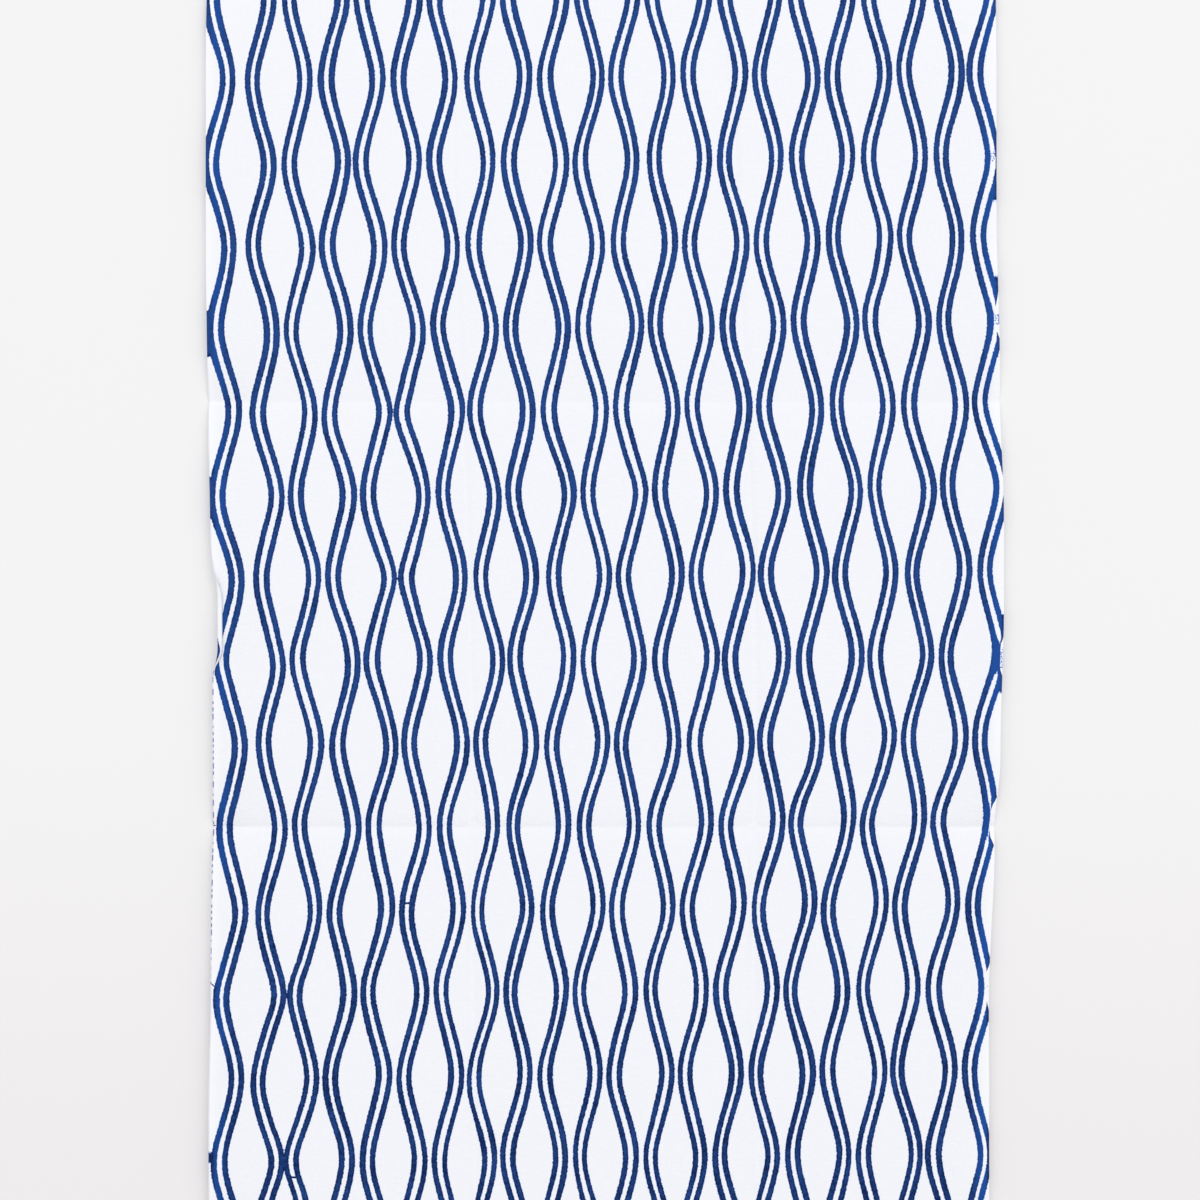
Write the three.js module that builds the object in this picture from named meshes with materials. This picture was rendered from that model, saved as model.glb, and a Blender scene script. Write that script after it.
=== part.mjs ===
// A cotton tenugui towel lying open on a flat surface, one woven panel that keeps the creases of its folding.
// Millimetres: X across the width, Y along the length, Z up. The origin is on the surface, under the middle.
import * as THREE from "three";

// Driving dimensions
const LENGTH = 900;
const CLOTH_WIDTH = 335; // selvedge to selvedge on the flat cloth
const SPAN = 337; // room across X for the selvedges as they lie, a little out of true
const THICKNESS = 1.2;

// Folding: five sections along the length and three across, and every crease is a valley in the face
const CROSS_CREASES = [270, 90, -90, -270]; // Y of each
// Distance of each long crease from the left selvedge on the flat cloth at the two ends, a little askew
const LONG_CREASES = [
  { far: 99, near: 119 },
  { far: 217, near: 242 },
];
const CREASE_STRIP = 3; // breadth of each cross crease that lies flat on the surface
const END_STRIP = 8; // breadth of each raw-cut end that lies flat on the surface
const CROSS_RISE = 2.4; // how steeply the cloth leaves a cross crease: 1 is a straight slope
const LONG_RISE = 2.0; // the same beside a long crease
const EDGE_RUN = 30; // how far from a cross crease a selvedge is at its full height over its third
const EDGE_RISE = 2.0; // how steeply it rises
const EDGE_CURL = 3; // how much of its rise over the third is close to the selvedge

// How far each selvedge lies inside SPAN at places along the length, and its height away from the creases
const SELVEDGES = [
  { at: 450, left: 0.4, right: 3.6, leftHeight: 2.6, rightHeight: 2.0 },
  { at: 175, left: 0.0, right: 3.1, leftHeight: 4.8, rightHeight: 3.6 },
  { at: 90, left: 0.6, right: 1.4, leftHeight: 5.4, rightHeight: 3.8 },
  { at: 42, left: 1.9, right: 0.0, leftHeight: 5.6, rightHeight: 3.6 },
  { at: 6, left: 2.8, right: 0.0, leftHeight: 5.8, rightHeight: 3.8 },
  { at: -62, left: 3.1, right: 1.6, leftHeight: 6.0, rightHeight: 4.6 },
  { at: -90, left: 2.7, right: 3.7, leftHeight: 6.0, rightHeight: 4.6 },
  { at: -165, left: 2.1, right: 6.4, leftHeight: 6.0, rightHeight: 4.0 },
  { at: -210, left: 1.3, right: 6.2, leftHeight: 6.5, rightHeight: 3.6 },
  { at: -450, left: 1.2, right: 4.8, leftHeight: 2.6, rightHeight: 2.0 },
];

// Height of the underside over the surface in the middle of each section, from the left third to the right
// one. farRun and nearRun are how far the cloth goes from the crease at each end before it is at full height.
const SECTIONS = [
  { left: 1.4, leftCrease: 0.9, centre: 1.2, rightCrease: 0.8, right: 1.2, farRun: 56, nearRun: 42 },
  { left: 1.7, leftCrease: 1.0, centre: 1.3, rightCrease: 0.9, right: 1.3, farRun: 46, nearRun: 60 },
  { left: 1.8, leftCrease: 1.0, centre: 1.2, rightCrease: 0.9, right: 1.6, farRun: 54, nearRun: 60 },
  { left: 2.0, leftCrease: 0.9, centre: 1.3, rightCrease: 0.9, right: 1.6, farRun: 54, nearRun: 84 },
  { left: 1.5, leftCrease: 0.8, centre: 1.1, rightCrease: 0.8, right: 1.2, farRun: 42, nearRun: 62 },
];

// A short length of the left selvedge that has turned over onto the face
const TURNED = { from: 20, to: -23, ramp: 22, breadth: 4.5, inset: 2.2, height: 1.3 };

// Mesh stations, closer together beside the creases and edges
const STEPS_ALONG = 11; // in each section
const STEPS_ACROSS = 9; // in each third

const CLOTH_COLOUR = 0xf2f4fb;

// 0 to 1 with level ends
function ease(part) {
  const p = Math.min(Math.max(part, 0), 1);
  return p * p * (3 - 2 * p);
}

// 0 to 1, steepest at the start and level at the end
function rise(part, power) {
  return 1 - (1 - Math.min(Math.max(part, 0), 1)) ** power;
}

function mix(a, b, part) {
  return a + (b - a) * part;
}

// A column of SELVEDGES at a place along the length
function selvedge(column, y) {
  const next = Math.max(1, SELVEDGES.findIndex((row) => row.at <= y));
  const far = SELVEDGES[next - 1];
  const near = SELVEDGES[next];
  return mix(far[column], near[column], ease((far.at - y) / (far.at - near.at)));
}

// How much of the turned selvedge there is at a place along the length, 0 to 1
function turned(y) {
  return ease((TURNED.from + TURNED.ramp / 2 - y) / TURNED.ramp) *
    ease((y - TURNED.to + TURNED.ramp / 2) / TURNED.ramp);
}

// Where a place on the flat cloth lies across X
function across(flat, y) {
  const left = -SPAN / 2 + selvedge("left", y) + TURNED.inset * turned(y);
  const right = SPAN / 2 - selvedge("right", y);
  return mix(left, right, flat / CLOTH_WIDTH);
}

// Distances of the long creases from the left selvedge at a place along the length
function longCreases(y) {
  return LONG_CREASES.map((crease) => mix(crease.near, crease.far, y / LENGTH + 0.5));
}

// Height in the middle of a section, across the flat cloth and without the lift of the selvedges
function crown(section, flat, y) {
  const [first, second] = longCreases(y);
  const middle = (first + second) / 2;
  if (flat <= first) {
    const outward = (first - flat) / first;
    return mix(section.leftCrease, section.left, rise(2 * outward, LONG_RISE));
  }
  if (flat >= second) {
    const outward = (flat - second) / (CLOTH_WIDTH - second);
    return mix(section.rightCrease, section.right, rise(2 * outward, LONG_RISE));
  }
  const crease = flat < middle ? section.leftCrease : section.rightCrease;
  const toCrease = flat < middle ? flat - first : second - flat;
  return mix(crease, section.centre, rise(toCrease / (middle - first), LONG_RISE));
}

// How far the outer halves of the outer thirds rise over the rest of them, up to the selvedges
function edgeLift(section, flat, y) {
  const [first, second] = longCreases(y);
  const left = selvedge("leftHeight", y) - section.left;
  const right = selvedge("rightHeight", y) - section.right;
  const outLeft = (first - flat) / first;
  const outRight = (flat - second) / (CLOTH_WIDTH - second);
  return left * ease(2 * outLeft - 1) ** EDGE_CURL + right * ease(2 * outRight - 1) ** EDGE_CURL;
}

// Height of the underside over the surface
function underside(flat, y) {
  const index = CROSS_CREASES.filter((crease) => y < crease).length;
  const section = SECTIONS[index];
  const isFirst = index === 0;
  const isLast = index === CROSS_CREASES.length;
  const far = isFirst ? LENGTH / 2 - END_STRIP : CROSS_CREASES[index - 1] - CREASE_STRIP / 2;
  const near = isLast ? -LENGTH / 2 + END_STRIP : CROSS_CREASES[index] + CREASE_STRIP / 2;
  const fromFar = rise((far - y) / section.farRun, CROSS_RISE);
  const fromNear = rise((y - near) / section.nearRun, CROSS_RISE);
  const edgeRise = rise(Math.min(far - y, y - near) / EDGE_RUN, EDGE_RISE);
  return crown(section, flat, y) * Math.min(fromFar, fromNear) + edgeLift(section, flat, y) * edgeRise;
}

// Thickness of cloth over the underside, doubled where the selvedge has turned over
function thickness(flat, y) {
  return THICKNESS + TURNED.height * turned(y) * ease(2 - flat / (TURNED.breadth / 2));
}

// Stations from one mark to the next, closer together beside the marks
function graded(from, to, steps) {
  return Array.from({ length: steps }, (_, i) => mix(from, to, (1 - Math.cos((Math.PI * i) / steps)) / 2));
}

function stationsAlong() {
  const half = LENGTH / 2;
  const stations = [-half];
  let start = -half + END_STRIP;
  for (const crease of [...CROSS_CREASES].reverse()) {
    stations.push(...graded(start, crease - CREASE_STRIP / 2, STEPS_ALONG), crease - CREASE_STRIP / 2);
    start = crease + CREASE_STRIP / 2;
  }
  return [...stations, ...graded(start, half - END_STRIP, STEPS_ALONG), half - END_STRIP, half];
}

function stationsAcross(y) {
  const marks = [0, ...longCreases(y), CLOTH_WIDTH];
  const thirds = marks.slice(1).map((mark, i) => graded(marks[i], mark, STEPS_ACROSS));
  return [...thirds.flat(), CLOTH_WIDTH];
}

// A box of one layer whose points move to the stations, with its bottom on the underside of the cloth
function clothGeometry() {
  const rows = stationsAlong();
  const columns = rows.map((y) => stationsAcross(y));
  const columnSteps = columns[0].length - 1;
  const rowSteps = rows.length - 1;
  const geometry = new THREE.BoxGeometry(1, 1, 1, columnSteps, rowSteps, 1);
  const points = geometry.getAttribute("position");
  for (let i = 0; i < points.count; i += 1) {
    const row = Math.round((points.getY(i) + 0.5) * rowSteps);
    const column = Math.round((points.getX(i) + 0.5) * columnSteps);
    const y = rows[row];
    const flat = columns[row][column];
    const above = points.getZ(i) > 0 ? thickness(flat, y) : 0;
    points.setXYZ(i, across(flat, y), y, underside(flat, y) + above);
  }
  geometry.computeVertexNormals();
  return geometry;
}

const cotton = new THREE.MeshStandardMaterial({ color: CLOTH_COLOUR, roughness: 0.9, metalness: 0 });

const towelCloth = new THREE.Mesh(clothGeometry(), cotton);
towelCloth.name = "towel_cloth";

const towel = new THREE.Group();
towel.add(towelCloth);

export default towel;
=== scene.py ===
# Looks of a cotton tenugui towel that lies open on a pale surface, dyed in indigo with rows of double waves.
# Lengths are in millimetres, and meshes are made in metres. X is across the width, Y along the length, Z up.
# A place on the flat cloth is given by flat, its distance from the left selvedge, and along, its Y.
import math

import bpy
import numpy as np
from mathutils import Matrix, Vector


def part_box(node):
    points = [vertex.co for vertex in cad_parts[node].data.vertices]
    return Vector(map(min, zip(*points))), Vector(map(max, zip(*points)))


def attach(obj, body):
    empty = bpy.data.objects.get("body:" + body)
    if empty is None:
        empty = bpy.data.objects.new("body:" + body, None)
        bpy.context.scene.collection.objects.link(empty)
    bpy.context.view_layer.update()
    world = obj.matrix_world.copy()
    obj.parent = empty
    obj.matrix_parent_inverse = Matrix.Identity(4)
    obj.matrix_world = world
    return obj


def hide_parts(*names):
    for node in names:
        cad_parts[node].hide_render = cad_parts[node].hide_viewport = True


MM = 0.001
CLOTH_NODE = "towel_cloth"

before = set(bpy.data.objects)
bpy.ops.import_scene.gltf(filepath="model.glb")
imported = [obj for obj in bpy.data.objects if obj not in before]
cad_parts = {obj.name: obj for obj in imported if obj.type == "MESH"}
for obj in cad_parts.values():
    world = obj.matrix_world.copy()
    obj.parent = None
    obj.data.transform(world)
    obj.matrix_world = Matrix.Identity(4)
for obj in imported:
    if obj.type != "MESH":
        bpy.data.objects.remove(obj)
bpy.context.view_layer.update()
low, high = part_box(CLOTH_NODE)

# Driving dimensions
LENGTH = round((high.y - low.y) / MM)
SPAN = round((high.x - low.x) / MM)  # room across X for the selvedges as they lie, a little out of true
CLOTH_WIDTH = 335  # selvedge to selvedge on the flat cloth
SHEET = 0.45  # thickness of the cotton

# Folding: five sections along the length and three across, and every crease is a valley in the face
CROSS_CREASES = [270, 90, -90, -270]  # Y of each
LONG_CREASES = [{"far": 99, "near": 119}, {"far": 217, "near": 242}]  # flat place at the two ends
CREASE_STRIP = 0.8  # breadth of each cross crease that lies on the surface
END_STRIP = 8  # breadth of each raw-cut end that lies on the surface
CROSS_RISE = 2.4  # how steeply the cloth leaves a cross crease: 1 is a straight slope
LONG_RISE = 2.0  # the same beside a long crease
EDGE_RUN = 30  # how far from a cross crease a selvedge is at its full height over its third
EDGE_RISE = 2.0  # how steeply it rises
EDGE_CURL = 3  # how much of its rise over the third is close to the selvedge
FAR_LIP_REACH = 4.0  # how soon the sharp first part of the rise from a cross crease is over, on its near side
NEAR_LIP_REACH = 2.2  # the same on the crease's far side
TROUGH_REACH = 1.5  # half breadth of the trough along a long crease
ON_SURFACE = 0.001  # a height so small that the cloth lies on the surface

# How far each selvedge lies inside SPAN at places along the length, and its height away from the creases
SELVEDGES = [
    {"at": -450, "left": 1.2, "right": 4.8, "left_height": 2.6, "right_height": 2.0},
    {"at": -210, "left": 1.3, "right": 6.2, "left_height": 6.5, "right_height": 3.6},
    {"at": -165, "left": 2.1, "right": 6.4, "left_height": 6.0, "right_height": 4.0},
    {"at": -90, "left": 2.7, "right": 3.7, "left_height": 6.0, "right_height": 4.6},
    {"at": -62, "left": 3.1, "right": 1.6, "left_height": 6.0, "right_height": 4.6},
    {"at": 6, "left": 2.8, "right": 0.0, "left_height": 5.8, "right_height": 3.8},
    {"at": 42, "left": 1.9, "right": 0.0, "left_height": 5.6, "right_height": 3.6},
    {"at": 90, "left": 0.6, "right": 1.4, "left_height": 5.4, "right_height": 3.8},
    {"at": 175, "left": 0.0, "right": 3.1, "left_height": 4.8, "right_height": 3.6},
    {"at": 450, "left": 0.4, "right": 3.6, "left_height": 2.6, "right_height": 2.0},
]

# Height of the underside over the surface in the middle of each section, from the left third to the right
# one. The runs are how far the cloth goes from the crease at each end before it is at full height, the lips
# are the sharp first part of that rise, and the troughs are the depth of the long creases.
SECTIONS = [
    {"left": 1.4, "left_crease": 0.9, "centre": 1.2, "right_crease": 0.8, "right": 1.2,
     "far_run": 56, "near_run": 42, "far_lip": 0.0, "near_lip": 0.2,
     "left_trough": 0.2, "right_trough": 0.3},
    {"left": 1.7, "left_crease": 1.0, "centre": 1.3, "right_crease": 0.9, "right": 1.3,
     "far_run": 46, "near_run": 60, "far_lip": 0.45, "near_lip": 0.1,
     "left_trough": 0.5, "right_trough": 1.2},
    {"left": 1.8, "left_crease": 1.0, "centre": 1.2, "right_crease": 0.9, "right": 1.6,
     "far_run": 54, "near_run": 60, "far_lip": 0.85, "near_lip": 0.8,
     "left_trough": 1.1, "right_trough": 1.4},
    {"left": 2.0, "left_crease": 0.9, "centre": 1.3, "right_crease": 0.9, "right": 1.6,
     "far_run": 54, "near_run": 84, "far_lip": 1.1, "near_lip": 0.3,
     "left_trough": 1.4, "right_trough": 2.0},
    {"left": 1.5, "left_crease": 0.8, "centre": 1.1, "right_crease": 0.8, "right": 1.2,
     "far_run": 42, "near_run": 62, "far_lip": 0.4, "near_lip": 0.0,
     "left_trough": 0.3, "right_trough": 0.4},
]

# A short length of the left selvedge that has turned over onto the face
TURNED = {"from": 33, "to": -31, "far_ramp": 27, "near_ramp": 17, "breadth": 3.5, "radius": 0.65,
          "angle": 0.95 * math.pi, "shift": -0.6}

# Puckers where a long crease crosses a cross crease: small bumps, and dimples where the height is below 0
PUCKERS = [
    {"flat": 228.5, "along": -90.6, "reach": 1.6, "height": 0.45},
    {"flat": 231.2, "along": -87.6, "reach": 1.1, "height": -0.5},
    {"flat": 112.6, "along": -87.7, "reach": 1.2, "height": -0.5},
    {"flat": 111.0, "along": -93.5, "reach": 1.8, "height": 0.3},
]

# Gentle unevenness of the face
SWELLS = [
    {"across": 151, "along": 97, "turn": 0.4, "height": 0.08},
    {"across": 83, "along": 143, "turn": 2.1, "height": 0.06},
    {"across": 61, "along": 71, "turn": 4.0, "height": 0.04},
]
# Ripples that die away from a selvedge
RIPPLES = [
    {"along": 47, "turn": 1.3, "height": 0.2},
    {"along": 29, "turn": 3.9, "height": 0.12},
]
RIPPLE_REACH = 22

# Mesh stations, closer together at the places named
ROW_STEP = 3.5
COLUMN_STEP = 3.8
ROW_SPOTS = [{"at": crease, "step": 0.5, "reach": 16} for crease in CROSS_CREASES] + [
    {"at": TURNED["from"] - TURNED["far_ramp"] / 2, "step": 0.8, "reach": 20},
    {"at": TURNED["to"] + TURNED["near_ramp"] / 2, "step": 1.2, "reach": 26},
]
COLUMN_EDGE_SPOTS = [{"at": 0, "step": 0.35, "reach": 12}, {"at": CLOTH_WIDTH, "step": 0.7, "reach": 12}]
COLUMN_CREASE_SPOT = {"step": 0.25, "reach": 9}
SPACING_POINTS = 4000  # places between two marks at which the spacing of the stations is added up
SHARP_ANGLE = 50  # degrees between two faces from which the edge between them is shown sharp

# Dyed pattern: rows of double waves, each in antiphase with the next
WAVE_PITCH = 15.26  # from one wave to the next, across
FIRST_WAVE = 10.0  # flat place of the first wave's middle line, on the pattern's even pitch
FIRST_OUTWARD = 1.5  # how much further out the first wave lies than that
FIRST_SLANT = 0.003  # and how much more so for each mm along
WAVE_PERIOD = 70.34
WAVE_SWING = 3.37  # how far a wave goes to each side
WAVE_CREST = 16.6  # along place, at mid width, where the even waves are furthest right
CREST_SLANT = 0.0127  # slant of the rows of crests, in mm along for each mm across
WAVE_POINT = 0.0225  # share of the third harmonic, which makes the bends a little pointed
STROKE = 2.42  # breadth of a stroke, square on
STROKES_APART = 4.24  # between the middle lines of a wave's two strokes
STROKE_OWN = 0.18  # difference in half breadth between the narrowest stroke and the broadest
WAVES = math.ceil((CLOTH_WIDTH - FIRST_WAVE) / WAVE_PITCH)
WAVE_SETS = ["even_waves", "odd_waves"]
WAVE_REACH = 8.5  # half the breadth of cloth that goes with a wave's unevenness
MELT = 0.5  # distance at which two strokes begin to run together
# How much further the dye spreads on each side of a stroke at the selvedges
SPREAD = {"left": 0.2, "right": -0.1, "reach": 4.0}

# Unevenness of the hand-cut stencil: how far along each kind keeps its way, and how far it mostly goes
UNEVEN = {
    "line": {"length": 55, "by": 0.38},  # a wave's middle line
    "cut": {"length": 12, "by": 0.18},  # the same line, in straight cuts
    "apart": {"length": 26, "by": 0.17},  # how far the strokes are from that line
    "half": {"length": 17, "by": 0.07},  # half the breadth of a stroke
}
FURTHEST = 1.5  # how many times as far as it mostly goes any of them goes
STAGGER = 0.37  # how much later a wave's lengths start than those of the wave before
SEED = 11
random = np.random.default_rng(SEED)
COUNTS = {kind: math.ceil(LENGTH / way["length"] + STAGGER * WAVES) + 2 for kind, way in UNEVEN.items()}
SHARES = {kind: random.normal(0, 1, (WAVES, COUNTS[kind])) for kind in UNEVEN}
LINES = {kind: way["by"] * np.clip(SHARES[kind], -FURTHEST, FURTHEST) for kind, way in UNEVEN.items()}

# How far to the right of its even pitch the pattern lies, at places along the length and across the cloth
DRIFT_COLUMNS = {"left": 30, "inner_left": 90, "middle": 160, "right": 300}  # flat places
DRIFTS = [
    {"at": -230, "left": -1.1, "inner_left": 0.9, "middle": -0.3, "right": -0.3},
    {"at": -115, "left": -0.2, "inner_left": 1.2, "middle": -0.7, "right": -0.8},
    {"at": -10, "left": -1.1, "inner_left": 0.4, "middle": 0.1, "right": -0.2},
    {"at": 90, "left": -1.3, "inner_left": -0.3, "middle": 0.2, "right": -0.2},
    {"at": 230, "left": -2.4, "inner_left": -1.6, "middle": -0.6, "right": -0.4},
]

# Places where two waves come together. The gap has the number of the wave on its left, the crest is counted
# in periods, each wave is pulled over by so much, and the dye runs over the gap for half the height given.
MEETINGS = [
    {"gap": 4, "crest": 1.0, "pull": 0.6, "reach": 12, "height": 0.3},
    {"gap": 4, "crest": 0.0, "pull": 0.65, "reach": 12, "height": 0.35},
    {"gap": 1, "crest": -2.5, "pull": 0.85, "reach": 14, "height": 0.9},
    {"gap": 1, "crest": -3.5, "pull": 1.2, "reach": 16, "height": 2.6},
]
BRIDGE = 1.6  # half the breadth of cloth that the dye runs over there

# Ticks of dye from one stroke of a wave to the other
TICKS = [{"wave": 5, "along": -122.0}, {"wave": 2, "along": -237.9}]
TICK = 0.4  # half the breadth of each

# Fine lines of dye from the left selvedge to the first stroke
HAIRS = [
    {"along": -89.0, "slope": 0.0, "half": 0.15, "reach": 2.4},
    {"along": -155.1, "slope": -1.0, "half": 0.3, "reach": 2.2},
]

# Lengths of selvedge where the dye has run out to it from a stroke that is no further off than the gap
FILLS_LEFT = [
    {"from": 197.7, "to": 184.1, "gap": 1.2},
    {"from": 129.1, "to": 107.5, "gap": 1.6},
    {"from": 60.0, "to": 41.0, "gap": 1.2},
    {"from": -223.7, "to": -233.0, "gap": 1.4},
]
FILLS_RIGHT = [
    {"from": 181.0, "to": 170.6, "gap": 1.6},
    {"from": 149.5, "to": 139.5, "gap": 1.5},
    {"from": 9.6, "to": -7.0, "gap": 0.9},
    {"from": -25.0, "to": -35.5, "gap": 1.3},
]

# Lengths of the right selvedge where the last stroke has spread outwards, by how much, and the breadth of the
# threads outside it that have stayed bare
BLEEDS = [
    {"from": 136.0, "to": 116.5, "by": 0.5, "bare": 1.4},
    {"from": -8.5, "to": -27.0, "by": 1.1, "bare": 1.2},
    {"from": -76.0, "to": -99.0, "by": 0.6, "bare": 2.0},
    {"from": -146.0, "to": -167.0, "by": 0.0, "bare": 1.3},
]
BLEED_ENDS = (2.6, 4.0)  # distances from the right selvedge between which a bleed ends inwards
BARE_SOFT = 0.4  # how soft the inner edge of the bare threads is
NO_DYE = 3  # what bare threads take off the depth of the dye

# Lengths of the right selvedge where specks of thin dye lie outside that stroke
SPECKS = [
    {"from": 197.5, "to": 190.5, "share": 1.0},
    {"from": 130.0, "to": 121.0, "share": 1.0},
    {"from": -12.8, "to": -23.4, "share": 1.0},
    {"from": -149.0, "to": -163.0, "share": 0.8},
]
SPECKS_END = (2.0, 3.0)  # distances from the right selvedge between which they end inwards
SPECK_GRAIN = 0.22  # how far the grain changes the depth of the dye among them
SPECK_SINK = 1.1  # how far below 0 that depth is where there are none

# Lengths of the left selvedge where threads are frayed and have stayed bare
FRAYED = [{"from": -14.5, "to": -27.0, "share": 1.0}]
FRAYED_ENDS = (0.4, 0.8)  # distances from it between which they end

# Grains of the cloth and its dye: how far each keeps its value across and along, and its finer octaves
GRAINS = {
    "weft": {"across": 6.0, "along": 0.45, "octaves": 0},
    "warp": {"across": 0.45, "along": 6.0, "octaves": 0},
    "ragged": {"across": 0.9, "along": 0.9, "octaves": 1},
    "fray": {"across": 0.5, "along": 0.8, "octaves": 0},
    "patch": {"across": 8.0, "along": 12.0, "octaves": 0},
    "fleck": {"across": 1.3, "along": 1.6, "octaves": 0},
    "cockle": {"across": 1.6, "along": 1.6, "octaves": 0},
}
GRAINS_APART = 1000  # how far apart the grains are taken from the noise

# Edge of the dye: how far grains move it, and the depths between which thin and full dye come in
EDGE_RAGGED = 0.25
EDGE_THREADS = 0.1
THIN_COMES = (-0.2, 0.06)
FULL_COMES = (-0.04, 0.14)

# Tone of the dye, 0 where it is deep and 1 where it is bright: what goes into it, and how much
TONE_CORE = 0.75
CORE_COMES = (0.1, 0.8)  # depths between which the rim of a stroke turns into its core
TONE_PATCH = 0.4
TONE_FLECK = 0.5
TONE_THREADS = 0.16
TONE_SLANT = 0.0005  # for each mm along
TONE_MIDDLE = 0.11  # in the middle of the length
TONE_DROP = {"from": 20, "to": -300, "by": 0.3}  # how much darker it turns at the near end
# Brighter blue beside the selvedges: the distances between which it comes in and goes, and its share
BESIDE_LEFT = {"comes": (1.6, 3.2), "goes": (3.8, 9.0), "share": 0.6}
BESIDE_RIGHT = {"comes": (0.5, 1.6), "goes": (2.5, 8.0), "share": 0.75}

# Tone of the bare cloth, 0 where it is dull and 1 where it is bright, and its border along the selvedges
GROUND_MIDDLE = 0.57
GROUND_THREADS = 0.3
BORDER_ENDS = (0.5, 5.0)

# A violet thread along the left selvedge, faint at first and then in dashes: the along places between which
# each comes in and goes, and its share
FAINT_THREAD = {"goes": (95, 115), "share": 0.18}
DASHED_THREAD = {"comes": (-160, -130), "goes": (-35, -15), "share": 0.75}
DASH = 2.6  # how far along the dashes keep their value
DASH_COMES = (-0.05, 0.1)  # values between which a dash comes in
THREAD_ENDS = (0.35, 0.6)  # distances from the selvedge between which the thread ends

# Colours as sRGB levels
GROUND_DULL = (235, 236, 241)
GROUND_BRIGHT = (240, 241, 246)
GROUND_SELVEDGE = (242, 243, 247)
DYE_THIN = (104, 142, 222)
DYE_DEEP = (8, 33, 80)
DYE_BRIGHT = (33, 68, 132)
DYE_SELVEDGE = (27, 79, 159)
SELVEDGE_THREAD = (92, 96, 172)
FLOOR_FAR = (238, 237.5, 238)
# painted shade: the floor's colour at the near end, darker as if the lamp's light fell off there
FLOOR_NEAR_PAINTED_SHADE = (234, 231, 232)
BLACK = (0, 0, 0)

# Finish of the cotton, and its low bumps
COTTON_FINISH = {"Roughness": 0.92, "Specular IOR Level": 0.1, "Sheen Weight": 0.02, "Sheen Roughness": 0.6}
BUMP_FINISH = {"Strength": 0.5, "Distance": 0.12 * MM}

# Floor: half its breadth, its height, and how it takes and gives light
FLOOR_HALF = 15000
FLOOR_LEVEL = -0.05
# painted light: the floor's own glow stands for light that thin cotton lets through, and lightens the shade
# beside the raised selvedges
FLOOR_PAINTED_GLOW = 0.22  # share of the floor's brightness that it gives out itself
FLOOR_LIGHT = 1.064  # brightness of a white floor in this light
FLOOR_FINISH = {"Roughness": 0.9, "Specular IOR Level": 0.1, "Emission Strength": FLOOR_PAINTED_GLOW * FLOOR_LIGHT}
# painted shade: the floor is darkened between these places to stand for the lamp's falloff toward the near
# end
FLOOR_PAINTED_FALLOFF = {"from": 0, "to": -260}  # along places between which the floor turns darker

# Brightness of the sky at the horizon and overhead, and the heights between which it rises, as sines
SKY_LOW = 0.5
SKY_HIGH = 1.04
SKY_RISES = (0.2, 0.85)

# The lamp, which looks at the middle of the cloth
LAMP_AT = (600, 3200, 4400)
LAMP_SIZE = (3600, 2000)
LAMP_WATTS = 76

# Camera straight above, as far off as the photograph's frame asks for
FRAME_ACROSS = 508.3  # breadth of the surface that the frame shows
CAMERA_AT = (-2.1, 6.25)  # X and Y
LENS = 100
SENSOR = 36


def ease(part):
    """0 to 1 with level ends."""
    p = np.clip(part, 0, 1)
    return p * p * (3 - 2 * p)


def rise(part, power):
    """0 to 1, steepest at the start and level at the end."""
    return 1 - (1 - np.clip(part, 0, 1)) ** power


def mix(a, b, part):
    return a + (b - a) * part


def from_table(table, column, along):
    """A column's value at a place along the length, which eases from each row of the table to the next."""
    places = [row["at"] for row in table]
    index = int(np.clip(np.searchsorted(places, along), 1, len(places) - 1))
    before, after = table[index - 1], table[index]
    return mix(before[column], after[column], ease((along - before["at"]) / (after["at"] - before["at"])))


def turned(along):
    """How much of the turned selvedge there is at a place along the length, 0 to 1."""
    from_far = ease((TURNED["from"] - along) / TURNED["far_ramp"])
    from_near = ease((along - TURNED["to"]) / TURNED["near_ramp"])
    return from_far * from_near


def across(flat, along):
    """Where a place on the flat cloth lies across X."""
    left = -SPAN / 2 + from_table(SELVEDGES, "left", along) + TURNED["shift"] * turned(along)
    right = SPAN / 2 - from_table(SELVEDGES, "right", along)
    return mix(left, right, flat / CLOTH_WIDTH)


def long_creases(along):
    return [mix(crease["near"], crease["far"], along / LENGTH + 0.5) for crease in LONG_CREASES]


def crown(section, flat, along):
    """Height in the middle of a section, across the flat cloth."""
    first, second = long_creases(along)
    middle = (first + second) / 2
    half = middle - first
    out_left = (first - flat) / first
    out_right = (flat - second) / (CLOTH_WIDTH - second)
    left = mix(section["left_crease"], section["left"], rise(2 * out_left, LONG_RISE))
    right = mix(section["right_crease"], section["right"], rise(2 * out_right, LONG_RISE))
    near_first = mix(section["left_crease"], section["centre"], rise((flat - first) / half, LONG_RISE))
    near_second = mix(section["right_crease"], section["centre"], rise((second - flat) / half, LONG_RISE))
    centre = np.where(flat < middle, near_first, near_second)
    return np.where(flat <= first, left, np.where(flat >= second, right, centre))


def edge_lift(section, flat, along):
    """How far the outer halves of the outer thirds rise over the rest of them, up to the selvedges."""
    first, second = long_creases(along)
    left = from_table(SELVEDGES, "left_height", along) - section["left"]
    right = from_table(SELVEDGES, "right_height", along) - section["right"]
    out_left = (first - flat) / first
    out_right = (flat - second) / (CLOTH_WIDTH - second)
    return left * ease(2 * out_left - 1) ** EDGE_CURL + right * ease(2 * out_right - 1) ** EDGE_CURL


def lifted(distance, run, lip, lip_reach, height):
    """Height at a distance from a cross crease: a sharp lip and then a long rise."""
    away = np.maximum(distance, 0)
    return (height - lip) * rise(away / run, CROSS_RISE) + lip * (1 - np.exp(-away / lip_reach))


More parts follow.
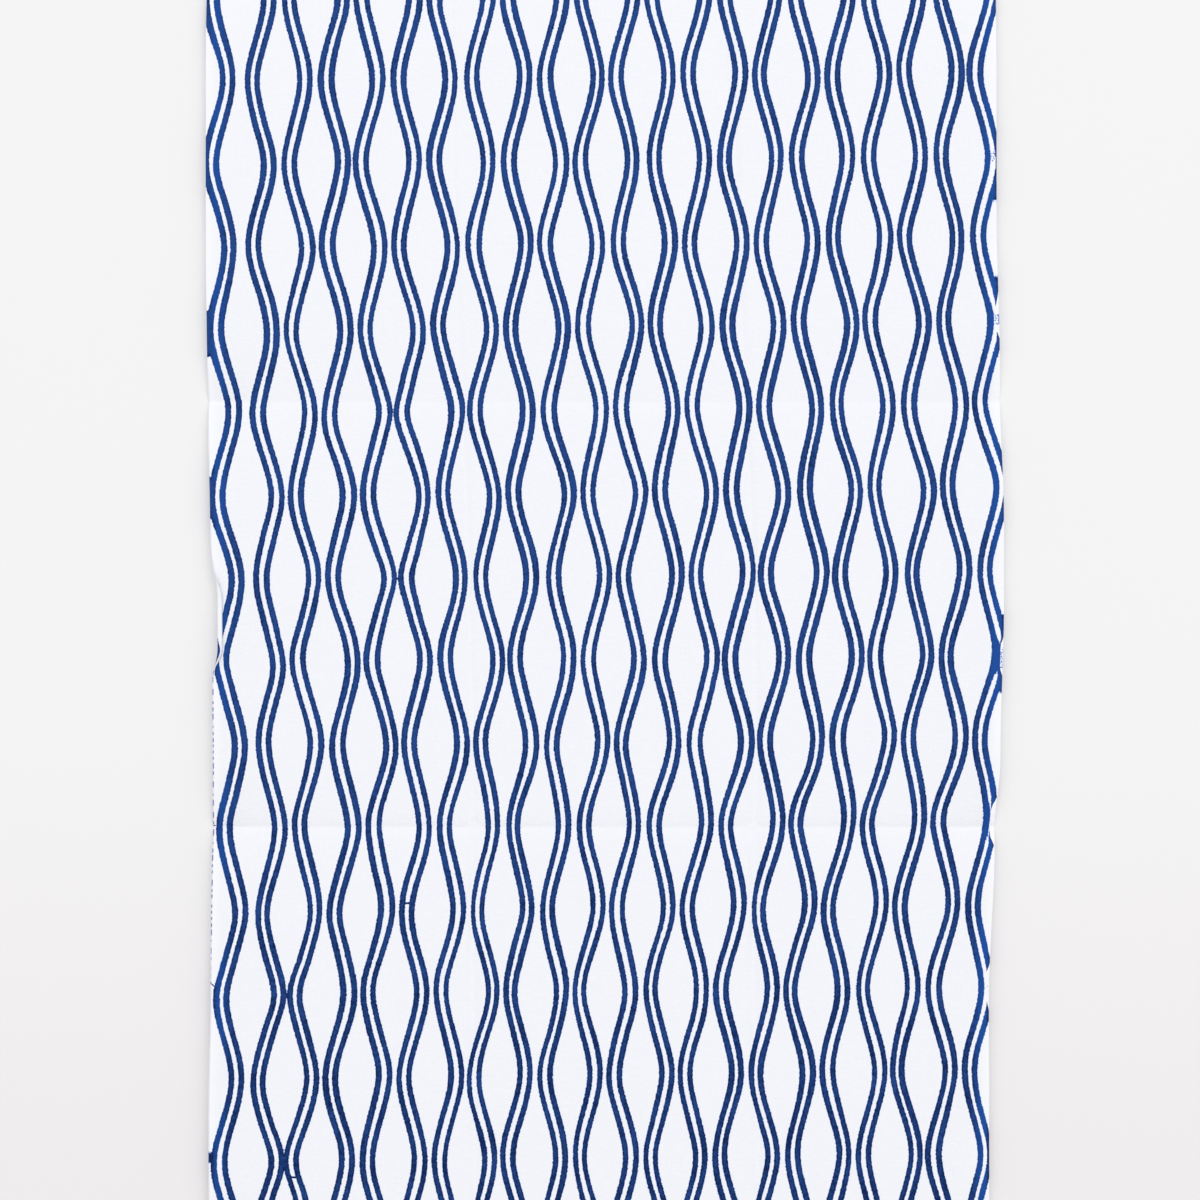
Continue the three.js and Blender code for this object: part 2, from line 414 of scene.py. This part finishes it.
def unevenness(flat, along):
    """Swells of the face, and ripples along the selvedges."""
    total = np.zeros_like(flat)
    for swell in SWELLS:
        over_width = np.sin(2 * math.pi * flat / swell["across"] + swell["turn"])
        over_length = math.sin(2 * math.pi * along / swell["along"] + 2 * swell["turn"])
        total += swell["height"] * over_width * over_length
    for ripple in RIPPLES:
        left = math.sin(2 * math.pi * along / ripple["along"] + ripple["turn"])
        right = math.sin(2 * math.pi * along / ripple["along"] + 2 * ripple["turn"])
        total += ripple["height"] * left * ease(1 - flat / RIPPLE_REACH)
        total += ripple["height"] * right * ease(1 - (CLOTH_WIDTH - flat) / RIPPLE_REACH)
    return total


def troughs(section, flat, along):
    """Depth of the troughs along the two long creases."""
    first, second = long_creases(along)
    left = section["left_trough"] * np.exp(-((flat - first) / TROUGH_REACH) ** 2)
    right = section["right_trough"] * np.exp(-((flat - second) / TROUGH_REACH) ** 2)
    return left + right


def puckers(flat, along):
    total = np.zeros_like(flat)
    for pucker in PUCKERS:
        away = ((flat - pucker["flat"]) ** 2 + (along - pucker["along"]) ** 2) / pucker["reach"] ** 2
        total += pucker["height"] * np.exp(-away)
    return total


def underside(flat, along):
    """Height of the underside over the surface, along one row."""
    index = sum(along < crease for crease in CROSS_CREASES)
    section = SECTIONS[index]
    is_first = index == 0
    is_last = index == len(CROSS_CREASES)
    far = LENGTH / 2 - END_STRIP if is_first else CROSS_CREASES[index - 1] - CREASE_STRIP / 2
    near = -LENGTH / 2 + END_STRIP if is_last else CROSS_CREASES[index] + CREASE_STRIP / 2
    height = crown(section, flat, along) + unevenness(flat, along)
    from_far = lifted(far - along, section["far_run"], section["far_lip"], FAR_LIP_REACH, height)
    from_near = lifted(along - near, section["near_run"], section["near_lip"], NEAR_LIP_REACH, height)
    edge_rise = rise(min(far - along, along - near) / EDGE_RUN, EDGE_RISE)
    base = np.minimum(from_far, from_near) + edge_lift(section, flat, along) * edge_rise
    sunk = base ** 2 / (base + troughs(section, flat, along) + ON_SURFACE)
    return np.maximum(sunk + puckers(flat, along), 0)


def cloth_row(flat, along):
    """Points of the underside along one row, with the selvedge turned over where it is."""
    share = turned(along)
    breadth = TURNED["breadth"] * share
    angle = TURNED["angle"] * share
    radius = TURNED["radius"]
    lying = np.maximum(flat, breadth)
    past = lying - flat
    bent = np.minimum(past, radius * angle)
    beyond = past - bent
    x = across(lying, along) - radius * np.sin(bent / radius) - beyond * math.cos(angle)
    z = underside(lying, along) + radius * (1 - np.cos(bent / radius)) + beyond * math.sin(angle)
    return np.stack([x, np.full_like(flat, along), z], axis=-1)


def drift(flat, along):
    """How far to the right of its even pitch the pattern lies, along one row."""
    drifts = [from_table(DRIFTS, column, along) for column in DRIFT_COLUMNS]
    return np.interp(flat, list(DRIFT_COLUMNS.values()), drifts)


def uneven(kind, along):
    """Each wave's value of one kind of unevenness at a place along the length."""
    waves = np.arange(WAVES)
    place = (along + LENGTH / 2) / UNEVEN[kind]["length"] + STAGGER * waves
    start = np.floor(place).astype(int)
    part = place - start if kind == "cut" else ease(place - start)
    return mix(LINES[kind][waves, start], LINES[kind][waves, start + 1], part)


def crest_at(flat):
    """The place along the length where the even waves are furthest right."""
    return WAVE_CREST + CREST_SLANT * (flat - CLOTH_WIDTH / 2)


def meeting_place(meeting):
    """Where two waves come together, as flat and along."""
    even = FIRST_WAVE + WAVE_PITCH * (meeting["gap"] + 0.5)
    along = crest_at(even) + meeting["crest"] * WAVE_PERIOD
    return even + float(drift(even, along)), along


def wave_lines(along):
    """How far each wave lies to the right of its even pitch at a place along the length."""
    lines = uneven("line", along) + uneven("cut", along)
    for meeting in MEETINGS:
        left = meeting["gap"]
        share = 1 - ease(abs(along - meeting_place(meeting)[1]) / meeting["reach"])
        lines[left] = mix(lines[left], meeting["pull"], share)
        lines[left + 1] = mix(lines[left + 1], -meeting["pull"], share)
    lines[0] -= FIRST_OUTWARD + FIRST_SLANT * along
    return lines


def over_cloth(values, parity, flat):
    """The values of every other wave, each spread over the cloth that goes with it."""
    middles = FIRST_WAVE + WAVE_PITCH * np.arange(parity, WAVES, 2)
    places = np.stack([middles - WAVE_REACH, middles + WAVE_REACH], axis=-1).ravel()
    return np.interp(flat, places, np.repeat(values[parity::2], 2))


def waves_row(flat, along, parity):
    """Every other wave along one row: the place among them, which is whole on their middle lines, the
    distance of their strokes from those lines, and half the breadth of the strokes."""
    turn = 2 * math.pi * (along - crest_at(flat)) / WAVE_PERIOD
    swing = WAVE_SWING * (np.cos(turn) + WAVE_POINT * np.cos(3 * turn))
    line = drift(flat, along) + over_cloth(wave_lines(along), parity, flat) + (-swing if parity else swing)
    place = (flat - line - FIRST_WAVE - WAVE_PITCH * parity) / (2 * WAVE_PITCH)
    apart = STROKES_APART / 2 + over_cloth(uneven("apart", along), parity, flat)
    half = STROKE / 2 + over_cloth(uneven("half", along), parity, flat)
    return np.stack([place, apart, half], axis=-1)


def places_row(flat, along):
    """The flat places along one row, and the breadth of a stroke square on for each mm of it across X."""
    turn = 2 * math.pi * (along - crest_at(flat)) / WAVE_PERIOD
    slope = 2 * math.pi * WAVE_SWING / WAVE_PERIOD * (np.sin(turn) + 3 * WAVE_POINT * np.sin(3 * turn))
    return np.stack([flat, np.full_like(flat, along), 1 / np.sqrt(1 + slope ** 2)], axis=-1)


def within(table, column, along):
    """A column's value in the row whose length of selvedge this is, and 0 elsewhere."""
    return sum(row[column] for row in table if row["to"] <= along <= row["from"])


def swelling(table, column, along):
    """A column's value in the middle of the row's length of selvedge, which fades out to its ends."""
    total = 0.0
    for row in table:
        middle = (row["from"] + row["to"]) / 2
        half = (row["from"] - row["to"]) / 2
        total += row[column] * ease(2 * (1 - abs(along - middle) / half))
    return total


def fills_row(flat, along):
    """How far the dye has run at each selvedge, and whether the left one is frayed, along one row."""
    left = within(FILLS_LEFT, "gap", along)
    right = within(FILLS_RIGHT, "gap", along)
    return np.tile([left, right, within(FRAYED, "share", along)], (len(flat), 1))


def bleeds_row(flat, along):
    """How far the last stroke has spread, the bare threads outside it and its specks, along one row."""
    by = swelling(BLEEDS, "by", along)
    bare = swelling(BLEEDS, "bare", along)
    return np.tile([by, bare, within(SPECKS, "share", along)], (len(flat), 1))


def stations(marks, spots, step):
    """Stations that pass through all the marks, closer together at the spots."""
    found = [marks[:1]]
    for start, stop in zip(marks, marks[1:]):
        fine = np.linspace(start, stop, SPACING_POINTS)
        steps = np.full_like(fine, step)
        for spot in spots:
            near = spot["step"] + (step - spot["step"]) * ease(np.abs(fine - spot["at"]) / spot["reach"])
            steps = np.minimum(steps, near)
        count = np.concatenate([[0], np.cumsum(np.diff(fine) / steps[1:])])
        even = np.linspace(0, count[-1], math.ceil(count[-1]) + 1)
        found.append(np.interp(even[1:], count, fine))
    return np.concatenate(found)


def flat_grid():
    """Rows along the length, and the flat places of the columns on each: they follow the long creases."""
    rows = stations([-LENGTH / 2, *reversed(CROSS_CREASES), LENGTH / 2], ROW_SPOTS, ROW_STEP)
    marks = [0, *long_creases(0), CLOTH_WIDTH]
    spots = COLUMN_EDGE_SPOTS + [{"at": crease, **COLUMN_CREASE_SPOT} for crease in long_creases(0)]
    columns = stations(marks, spots, COLUMN_STEP)
    flat = np.array([np.interp(columns, marks, [0, *long_creases(along), CLOTH_WIDTH]) for along in rows])
    return rows, flat


def over_rows(make_row, rows, flat, *more):
    """What a function of one row gives, over the whole cloth."""
    return np.array([make_row(row, along, *more) for row, along in zip(flat, rows)])


def sheet_points(rows, flat):
    """Points of a closed sheet: the underside's grid and then the face's."""
    under = over_rows(cloth_row, rows, flat)
    normals = np.cross(np.gradient(under, axis=1), np.gradient(under, axis=0))
    normals /= np.linalg.norm(normals, axis=-1, keepdims=True)
    return np.stack([under, under + SHEET * normals]).reshape(-1, 3)


def sheet_faces(rows, columns):
    """Quads of that sheet: the underside, the face and the rim between them."""
    index = np.arange(rows * columns).reshape(rows, columns)
    under = np.stack([index[:-1, :-1], index[1:, :-1], index[1:, 1:], index[:-1, 1:]], axis=-1).reshape(-1, 4)
    face = under[:, ::-1] + rows * columns
    around = np.concatenate([index[0, :-1], index[:-1, -1], index[-1, :0:-1], index[:0:-1, 0]])
    onward = np.roll(around, -1)
    rim = np.stack([around, onward, onward + rows * columns, around + rows * columns], axis=-1)
    return np.concatenate([under, face, rim])


def both_layers(values):
    """Values of a grid of points, three to a point, for both layers of the sheet."""
    return np.tile(values.reshape(-1, 3), (2, 1))


def carry(mesh, name, values):
    """Gives the sheet's points their values under a name."""
    attribute = mesh.attributes.new(name, "FLOAT_VECTOR", "POINT")
    attribute.data.foreach_set("vector", both_layers(values).astype(np.float32).ravel())


def add_bake_map(mesh, faces, places):
    """Lays the flat cloth over the whole of a map."""
    corners = both_layers(places)[faces.ravel()]
    squares = np.stack([corners[:, 0] / CLOTH_WIDTH, corners[:, 1] / LENGTH + 0.5], axis=-1)
    bake_map = mesh.uv_layers.new(name="OFBake")
    bake_map.data.foreach_set("uv", squares.astype(np.float32).ravel())


def add_object(name, data):
    made = bpy.data.objects.new(name, data)
    bpy.context.scene.collection.objects.link(made)
    return made


def make_cloth():
    """The towel as one closed thin sheet that carries its flat places and waves for the dye."""
    rows, flat = flat_grid()
    places = over_rows(places_row, rows, flat)
    faces = sheet_faces(*flat.shape)
    mesh = bpy.data.meshes.new("towel")
    mesh.from_pydata((sheet_points(rows, flat) * MM).tolist(), [], faces.tolist())
    mesh.update()
    carry(mesh, "flat_place", places)
    carry(mesh, "edge_fills", over_rows(fills_row, rows, flat))
    carry(mesh, "edge_bleeds", over_rows(bleeds_row, rows, flat))
    for parity, name in enumerate(WAVE_SETS):
        carry(mesh, name, over_rows(waves_row, rows, flat, parity))
    add_bake_map(mesh, faces, places)
    mesh.shade_smooth()
    mesh.set_sharp_from_angle(angle=math.radians(SHARP_ANGLE))
    return add_object("towel", mesh)


class Field:
    """A value in a node tree that works in formulas as a number does."""

    def __init__(self, graph, socket):
        self.graph = graph
        self.socket = socket

    def __add__(self, other):
        return self.graph.math("ADD", self, other)

    def __sub__(self, other):
        return self.graph.math("SUBTRACT", self, other)

    def __rsub__(self, other):
        return self.graph.math("SUBTRACT", other, self)

    def __mul__(self, other):
        return self.graph.math("MULTIPLY", self, other)

    def __truediv__(self, other):
        return self.graph.math("DIVIDE", self, other)

    __radd__ = __add__
    __rmul__ = __mul__


class Graph:
    """Builds a node tree from formulas."""

    def __init__(self, tree):
        self.tree = tree

    def add(self, kind, **settings):
        node = self.tree.nodes.new(kind)
        for name, value in settings.items():
            setattr(node, name, value)
        return node

    def put(self, value, socket):
        if isinstance(value, Field):
            self.tree.links.new(value.socket, socket)
        else:
            socket.default_value = value

    def math(self, operation, *values):
        node = self.add("ShaderNodeMath", operation=operation)
        for value, socket in zip(values, node.inputs):
            self.put(value, socket)
        return Field(self, node.outputs[0])

    def smooth(self, value, start, stop):
        """0 before start and 1 after stop, with level ends."""
        node = self.add("ShaderNodeMapRange", interpolation_type="SMOOTHSTEP")
        self.put(value, node.inputs["Value"])
        node.inputs["From Min"].default_value = start
        node.inputs["From Max"].default_value = stop
        return Field(self, node.outputs["Result"])

    def fade(self, value, start, stop):
        """1 before start and 0 after stop, with level ends."""
        return 1 - self.smooth(value, start, stop)

    def band(self, value, comes, goes):
        """1 after it comes in and before it goes, and 0 outside."""
        return self.smooth(value, *comes) * self.fade(value, *goes)

    def noise(self, x, y, octaves=0):
        """Soft noise about 0, mostly within 0.6 of it, which changes over about 1 in both values."""
        place = self.add("ShaderNodeCombineXYZ")
        self.put(x, place.inputs[0])
        self.put(y, place.inputs[1])
        node = self.add("ShaderNodeTexNoise", noise_dimensions="2D")
        self.tree.links.new(place.outputs[0], node.inputs["Vector"])
        node.inputs["Scale"].default_value = 1.0
        node.inputs["Detail"].default_value = octaves
        return Field(self, node.outputs[0]) * 2 - 1

    def random(self, number):
        """A random value from 0 to 1 for each number."""
        node = self.add("ShaderNodeTexWhiteNoise", noise_dimensions="1D")
        self.put(number, node.inputs["W"])
        return Field(self, node.outputs["Value"])

    def blend(self, part, first, second):
        """One colour turning into another."""
        node = self.add("ShaderNodeMix", data_type="RGBA")
        for value, socket in zip((part, first, second), (node.inputs[0], node.inputs[6], node.inputs[7])):
            self.put(value, socket)
        return Field(self, node.outputs[2])

    def parts(self, socket):
        """The three parts of a vector."""
        node = self.add("ShaderNodeSeparateXYZ")
        self.tree.links.new(socket, node.inputs[0])
        return [Field(self, output) for output in node.outputs]


def linear(levels):
    """A colour from sRGB levels."""
    parts = [level / 255 for level in levels]
    return (*[p / 12.92 if p <= 0.04045 else ((p + 0.055) / 1.055) ** 2.4 for p in parts], 1.0)


def new_material(name):
    """A material, the graph of its nodes and its shader."""
    material = bpy.data.materials.new(name)
    material.use_nodes = True
    return material, Graph(material.node_tree), material.node_tree.nodes["Principled BSDF"]


def give_finish(node, finish):
    """Sets what is the same all over a surface."""
    for name, value in finish.items():
        node.inputs[name].default_value = value


def carried(graph, name):
    """The three values that the cloth's points carry under a name."""
    return graph.parts(graph.add("ShaderNodeAttribute", attribute_name=name).outputs["Vector"])


def grain(graph, name, flat, along):
    """One of the grains, as noise about 0."""
    kind = GRAINS[name]
    seed = GRAINS_APART * list(GRAINS).index(name)
    return graph.noise(flat / kind["across"] + seed, along / kind["along"], kind["octaves"])


def with_ticks(graph, inside, parity, wave, apart, from_middle, along):
    """Adds the ticks between the two strokes of every other wave."""
    for tick in TICKS:
        if tick["wave"] % 2 == parity:
            elsewhere = 1 - graph.math("COMPARE", wave, tick["wave"], 0.5)
            line = TICK - graph.math("ABSOLUTE", along - tick["along"])
            joined = graph.math("MINIMUM", line, apart - from_middle) - elsewhere * WAVE_PITCH
            inside = graph.math("SMOOTH_MAX", inside, joined, MELT)
    return inside


def with_meetings(graph, depth, flat, along):
    """Adds the dye that runs from wave to wave where two of them come together."""
    for meeting in MEETINGS:
        middle, crest = meeting_place(meeting)
        height = meeting["height"] - graph.math("ABSOLUTE", along - crest)
        breadth = BRIDGE - graph.math("ABSOLUTE", flat - middle)
        depth = graph.math("SMOOTH_MAX", depth, graph.math("MINIMUM", height, breadth), MELT)
    return depth


def with_hairs(graph, depth, flat, along):
    """Adds the fine lines of dye at the left selvedge."""
    for hair in HAIRS:
        line = hair["half"] - graph.math("ABSOLUTE", along - hair["along"] - flat * hair["slope"])
        depth = graph.math("MAXIMUM", depth, graph.math("MINIMUM", line, hair["reach"] - flat))
    return depth


def with_edges(graph, depth, flat, along):
    """Adds what the dye does along the selvedges."""
    from_right = CLOTH_WIDTH - flat
    left_gap, right_gap, frayed = carried(graph, "edge_fills")
    bleed, bare, specks = carried(graph, "edge_bleeds")
    for edge, gap in ((flat, left_gap), (from_right, right_gap)):
        depth = graph.math("MAXIMUM", depth, gap - (edge - depth))
    depth = depth + bleed * graph.fade(from_right, *BLEED_ENDS)
    depth = depth - graph.smooth(bare - from_right, 0.0, BARE_SOFT) * NO_DYE
    among = specks * graph.fade(from_right, *SPECKS_END)
    speckled = grain(graph, "fray", flat, along) * SPECK_GRAIN + among - SPECK_SINK
    depth = graph.math("MAXIMUM", depth, speckled)
    return depth - graph.fade(flat, *FRAYED_ENDS) * frayed * NO_DYE


def dye_depth(graph, flat, along, square_on):
    """How far inside a dyed stroke a place lies, in millimetres. It is below 0 on bare cloth."""
    spread_left = graph.fade(flat, 0.0, SPREAD["reach"]) * SPREAD["left"]
    spread_right = graph.fade(CLOTH_WIDTH - flat, 0.0, SPREAD["reach"]) * SPREAD["right"]
    sets = []
    for parity, name in enumerate(WAVE_SETS):
        place, apart, half = carried(graph, name)
        row = graph.math("MAXIMUM", graph.math("FLOOR", place + 0.5), 0.0)
        wave = row * 2 + parity
        off = (place - row) * square_on * (2 * WAVE_PITCH)
        stroke = wave * 2 + graph.math("SIGN", off) * 0.5
        half = half + spread_left + spread_right + (graph.random(stroke) - 0.5) * STROKE_OWN
        from_middle = graph.math("ABSOLUTE", off)
        inside = half - graph.math("ABSOLUTE", from_middle - apart)
        sets.append(with_ticks(graph, inside, parity, wave, apart, from_middle, along))
    depth = graph.math("SMOOTH_MAX", *sets, MELT)
    depth = with_meetings(graph, depth, flat, along)
    depth = with_hairs(graph, depth, flat, along)
    return with_edges(graph, depth, flat, along)


def dye_colour(graph, depth, threads, flat, along):
    """Deeper at the rims of a stroke and in patches, and a brighter blue beside the selvedges."""
    core = graph.smooth(depth, *CORE_COMES) * TONE_CORE
    patches = grain(graph, "patch", flat, along) * TONE_PATCH
    flecks = grain(graph, "fleck", flat, along) * TONE_FLECK
    drop = graph.fade(along, TONE_DROP["to"], TONE_DROP["from"]) * TONE_DROP["by"]
    tone = core + patches + flecks + threads * TONE_THREADS + along * TONE_SLANT + TONE_MIDDLE - drop
    dye = graph.blend(tone, linear(DYE_DEEP), linear(DYE_BRIGHT))
    beside_left = graph.band(flat, BESIDE_LEFT["comes"], BESIDE_LEFT["goes"])
    beside_right = graph.band(CLOTH_WIDTH - flat, BESIDE_RIGHT["comes"], BESIDE_RIGHT["goes"])
    beside = beside_left * BESIDE_LEFT["share"] + beside_right * BESIDE_RIGHT["share"]
    return graph.blend(beside, dye, linear(DYE_SELVEDGE))


def ground_colour(graph, threads, flat):
    """Bare cloth with faintly uneven threads, and a paler border along the selvedges."""
    tone = threads * GROUND_THREADS + GROUND_MIDDLE
    ground = graph.blend(tone, linear(GROUND_DULL), linear(GROUND_BRIGHT))
    from_selvedge = graph.math("MINIMUM", flat, CLOTH_WIDTH - flat)
    return graph.blend(graph.fade(from_selvedge, *BORDER_ENDS), ground, linear(GROUND_SELVEDGE))


def thread_share(graph, flat, along):
    """How much of the violet thread shows."""
    dashes = graph.smooth(graph.noise(along / DASH, 0.0), *DASH_COMES)
    faint = graph.fade(along, *FAINT_THREAD["goes"]) * FAINT_THREAD["share"]
    dashed = graph.band(along, DASHED_THREAD["comes"], DASHED_THREAD["goes"]) * dashes
    return graph.fade(flat, *THREAD_ENDS) * (faint + dashed * DASHED_THREAD["share"])


def cotton_material():
    """White cotton with the indigo dyed right through it, and a fine uneven weave."""
    material, graph, shader = new_material("dyed_cotton")
    flat, along, square_on = carried(graph, "flat_place")

    # Each thread is a little thicker or thinner than the next, and the dye's edge follows them
    threads = grain(graph, "weft", flat, along) + grain(graph, "warp", flat, along)
    ragged = grain(graph, "ragged", flat, along)
    depth = dye_depth(graph, flat, along, square_on) + ragged * EDGE_RAGGED + threads * EDGE_THREADS

    # Thin dye at the rims of the strokes, and full dye inside them
    dye = dye_colour(graph, depth, threads, flat, along)
    colour = ground_colour(graph, threads, flat)
    colour = graph.blend(graph.smooth(depth, *THIN_COMES), colour, linear(DYE_THIN))
    colour = graph.blend(graph.smooth(depth, *FULL_COMES), colour, dye)
    colour = graph.blend(thread_share(graph, flat, along), colour, linear(SELVEDGE_THREAD))
    graph.put(colour, shader.inputs["Base Color"])

    bump = graph.add("ShaderNodeBump")
    give_finish(bump, BUMP_FINISH)
    graph.put(grain(graph, "cockle", flat, along), bump.inputs["Height"])
    graph.tree.links.new(bump.outputs[0], shader.inputs["Normal"])
    give_finish(shader, COTTON_FINISH)
    return material


def floor_material():
    """A plain pale surface, with painted shade that darkens it toward the near end where the lamp's light
    falls off.
    It glows a little: painted light that stands for the light that thin cotton lets through to it."""
    material, graph, shader = new_material("pale_surface")
    along = graph.parts(graph.add("ShaderNodeNewGeometry").outputs["Position"])[1]
    # painted shade: darkens the floor toward the near end, standing in for the lamp's falloff
    near = graph.fade(along, FLOOR_PAINTED_FALLOFF["to"] * MM, FLOOR_PAINTED_FALLOFF["from"] * MM)
    colour = graph.blend(near, linear(FLOOR_FAR), linear(FLOOR_NEAR_PAINTED_SHADE))
    # painted light: part of the floor's brightness is its own glow, not light from the lamp or sky
    graph.put(graph.blend(FLOOR_PAINTED_GLOW, colour, linear(BLACK)), shader.inputs["Base Color"])
    graph.put(colour, shader.inputs["Emission Color"])
    give_finish(shader, FLOOR_FINISH)
    return material


def make_floor():
    """A flat floor just under the cloth."""
    half = FLOOR_HALF * MM
    level = FLOOR_LEVEL * MM
    corners = [(-half, -half, level), (half, -half, level), (half, half, level), (-half, half, level)]
    mesh = bpy.data.meshes.new("floor")
    mesh.from_pydata(corners, [], [(0, 1, 2, 3)])
    mesh.materials.append(floor_material())
    floor = add_object("floor", mesh)


def make_sky():
    """A pale sky that is brightest overhead."""
    world = bpy.data.worlds.new("studio")
    world.use_nodes = True
    sky = world.node_tree.nodes["Background"]
    sky.inputs["Color"].default_value = (1, 1, 1, 1)
    graph = Graph(world.node_tree)
    height = graph.parts(graph.add("ShaderNodeTexCoord").outputs["Generated"])[2]
    overhead = graph.smooth(height, *SKY_RISES)
    graph.put(overhead * (SKY_HIGH - SKY_LOW) + SKY_LOW, sky.inputs["Strength"])
    bpy.context.scene.world = world


def make_lamp():
    """One large soft lamp from the far end."""
    lamp = bpy.data.lights.new("key", "AREA")
    lamp.shape = "RECTANGLE"
    lamp.size = LAMP_SIZE[0] * MM
    lamp.size_y = LAMP_SIZE[1] * MM
    lamp.energy = LAMP_WATTS
    key = add_object("key", lamp)
    key.location = [place * MM for place in LAMP_AT]
    key.rotation_euler = (-key.location).to_track_quat("-Z", "Y").to_euler()


def make_camera():
    lens = bpy.data.cameras.new("camera")
    lens.lens = LENS
    lens.sensor_width = SENSOR
    camera = add_object("camera", lens)
    height = FRAME_ACROSS * LENS / SENSOR
    camera.location = (CAMERA_AT[0] * MM, CAMERA_AT[1] * MM, height * MM)
    bpy.context.scene.camera = camera


make_camera()
make_sky()
make_lamp()
make_floor()
bpy.context.scene.view_settings.view_transform = "Standard"

towel = make_cloth()
towel.data.materials.append(cotton_material())
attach(towel, "root")
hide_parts(CLOTH_NODE)
